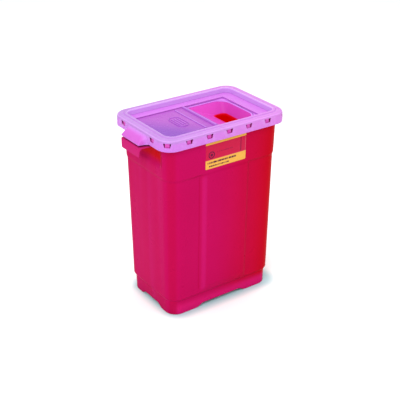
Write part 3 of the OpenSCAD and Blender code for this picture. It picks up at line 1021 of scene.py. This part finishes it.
def build_door():
    """A plate with a stop lip, a rib and an oval finger grip, as a fine grid of heights."""
    low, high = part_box("slide_door")
    x0, x1, half, z0 = low.x / MM, high.x / MM, high.y / MM, low.z / MM
    corner, relief = 12.5, 2.5
    back = x0 + corner

    # The grid is finest where the lip, the rib, the grip and the round corners are
    turns = np.linspace(0, math.pi / 2, 12)
    fine_x = [np.arange(-110, -58, 0.9), np.arange(-45, -34, 0.5), np.arange(-10, 2, 0.4)]
    xs = [np.linspace(x0, x1, 70), x0 + corner * (1 - np.cos(turns)), *fine_x]
    rail_y = np.arange(88, 99, 0.6)
    ys = [np.linspace(-half, half, 60), np.arange(-44, 44.1, 1.1), -rail_y, rail_y]
    grids = [np.unique(np.round(np.concatenate(values), 3)) for values in (xs, ys)]
    x, y = np.meshgrid(*grids, indexing="ij")

    def bar(profile_x, profile_z, reach):
        return np.interp(x, profile_x, profile_z) * ease((reach - np.abs(y)) / 2.5)

    def capsule(cx, hx, hy, radius):
        """Distance inside (positive) a rounded rectangle round (cx, 0)."""
        qx = np.abs(x - cx) - hx + radius
        qy = np.abs(y) - hy + radius
        corner_part = np.hypot(np.maximum(qx, 0), np.maximum(qy, 0))
        return radius - corner_part - np.minimum(np.maximum(qx, qy), 0)

    lip_x, lip_z = [-8, -7.4, -6.4, -5, -3, -1.8, -0.3, 0], [0, 1.2, 5.6, 6.3, 6.5, 6.0, 0.8, 0]
    rib_x, rib_z = [-43, -42.4, -41, -38, -36.6, -36], [0, 0.5, relief, relief, 0.5, 0]
    lip, rib = bar(lip_x, lip_z, half - 9), bar(rib_x, rib_z, half - 14)
    inside = capsule(-84, 22, 42, 20)
    oval = relief * ease(inside / 1.2) * ease((3 - inside) / 1.2)
    bars = sum(relief * ease(capsule(cx, 2, 28, 1.9) / 1.2) for cx in (-94, -84, -74))
    height = z0 + DOOR_THICK + np.maximum.reduce([lip, rib, oval, bars])

    # The two corners at the back are round
    short_of_back = np.maximum(back - x, 0)
    y = y * (half - corner + np.sqrt(np.maximum(corner**2 - short_of_back**2, 0))) / half
    nx, ny = x.shape
    top = np.column_stack([x.ravel(), y.ravel(), height.ravel()])
    bottom = np.column_stack([x.ravel(), y.ravel(), np.full(x.size, z0)])
    size = nx * ny
    faces = []
    for i in range(nx - 1):
        for j in range(ny - 1):
            q = (i * ny + j, (i + 1) * ny + j, (i + 1) * ny + j + 1, i * ny + j + 1)
            faces += [q, tuple(size + k for k in q[::-1])]
    edge = [i * ny for i in range(nx)] + [(nx - 1) * ny + j for j in range(1, ny)]
    edge += [i * ny + ny - 1 for i in range(nx - 2, -1, -1)] + list(range(ny - 2, 0, -1))
    faces += [(a, b, size + b, size + a) for a, b in zip(edge, edge[1:] + edge[:1])]
    verts = np.vstack([top, bottom])
    finish_mesh("door", verts, faces, "door", DOOR, "slide_door", bevel=0.7)


def build_seal():
    """The rubber strip round the opening: a soft D section in its groove."""
    places = places_round(8, 10)
    low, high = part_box("door_gasket")
    z0, z1 = low.z / MM, high.z / MM
    section = [(3.1, z0), (7.9, z0), (7.9, z1 - 0.5), (6.6, z1 - 0.1)]
    section += [(5.5, z1), (4.4, z1 - 0.1), (3.1, z1 - 0.5)]
    rings = [at_height(outline(MOUTH, places, grow)[0], z) for grow, z in section]
    faces = ring_faces(len(places), len(rings), cyclic=True)
    verts = np.concatenate(rings)
    finish_mesh("door_seal", verts, faces, "bin", RUBBER, "door_gasket")


def build_label(name, node, side):
    """A thin sheet with rounded corners on the band's sloping face."""
    places = places_round(6, 5)
    low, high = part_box(node)
    corner = 4
    base = (low.x / MM, high.x / MM, low.z / MM, high.z / MM, (corner,) * 4)

    def sheet(grow, proud):
        xz, _ = outline(base, places, grow)
        t = (xz[:, 1] - BAND_Z) / (TUB_TOP - BAND_Z)
        y = (BAND_LOW[1] + (RIM_SIZE[1] - BAND_LOW[1]) * t) / 2 + proud
        return np.column_stack([xz[:, 0], side * y, xz[:, 1]])

    rings = [sheet(0, -0.3), sheet(0, 0.15), sheet(-1, 0.36)]
    n = len(places)
    faces = ring_faces(n, 3) + [tuple(range(n)), tuple(range(2 * n, 3 * n))]
    finish_mesh(name, np.concatenate(rings), faces, "bin", PRINT, node)


build_tub()
build_lid()
build_chute()
build_door()
build_seal()
build_label("label_front", "front_label", -1)
build_label("label_rear", "rear_label", 1)
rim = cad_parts["rim_gasket"]
rim.data.materials.clear()
rim.data.materials.append(RUBBER)

# ---------------------------------------------------------------- camera, floor and light

AZIMUTH, ELEVATION, DISTANCE = math.radians(-34.85), math.radians(27.2), 3.0055
AIM = Vector((0, 0, 0.255))
SLIDE_RIGHT, SLIDE_UP = -0.0005, 0.0680
LENS, SENSOR = 77.96, 36

back = Vector(
    (
        math.sin(AZIMUTH) * math.cos(ELEVATION),
        -math.cos(AZIMUTH) * math.cos(ELEVATION),
        math.sin(ELEVATION),
    )
)
right = Vector((math.cos(AZIMUTH), math.sin(AZIMUTH), 0))
up = back.cross(right)
camera = bpy.data.objects.new("camera", bpy.data.cameras.new("camera"))
camera.data.lens = LENS
camera.data.sensor_width = SENSOR
camera.location = AIM + back * DISTANCE + right * SLIDE_RIGHT + up * SLIDE_UP
camera.rotation_euler = back.to_track_quat("Z", "Y").to_euler()
bpy.context.scene.collection.objects.link(camera)
bpy.context.scene.camera = camera

FLOOR_HALF = 15
corners = [(x * FLOOR_HALF, y * FLOOR_HALF, 0) for x, y in ((-1, -1), (1, -1), (1, 1), (-1, 1))]
mesh = bpy.data.meshes.new("floor")
mesh.from_pydata(corners, [], [(0, 1, 2, 3)])
mesh.materials.append(floor_paint())
floor = bpy.data.objects.new("floor", mesh)
bpy.context.scene.collection.objects.link(floor)

world = bpy.data.worlds.new("studio")
bpy.context.scene.world = world
world.use_nodes = True
background = world.node_tree.nodes["Background"]
background.inputs["Color"].default_value = (1, 1, 1, 1)
background.inputs["Strength"].default_value = 1.0


def softbox(name, place, aim_z, size, power):
    """A square area light at place that faces a point on the object's axis."""
    light = bpy.data.objects.new(name, bpy.data.lights.new(name, "AREA"))
    light.data.shape = "SQUARE"
    light.data.size = size
    light.data.energy = power
    light.location = place
    towards = Vector(place) - Vector((0, 0, aim_z))
    light.rotation_euler = towards.to_track_quat("Z", "Y").to_euler()
    bpy.context.scene.collection.objects.link(light)


softbox("key", (-2.2, -1.6, 2.6), 0.35, 1.6, 60)
softbox("fill", (2.4, -2.0, 1.6), 0.3, 1.6, 14)
softbox("top", (0.2, 0.4, 3.2), 0.4, 2.4, 40)

view = bpy.context.scene.view_settings
view.view_transform = "Standard"
view.look = "None"
view.exposure = 0.0
view.gamma = 1.0
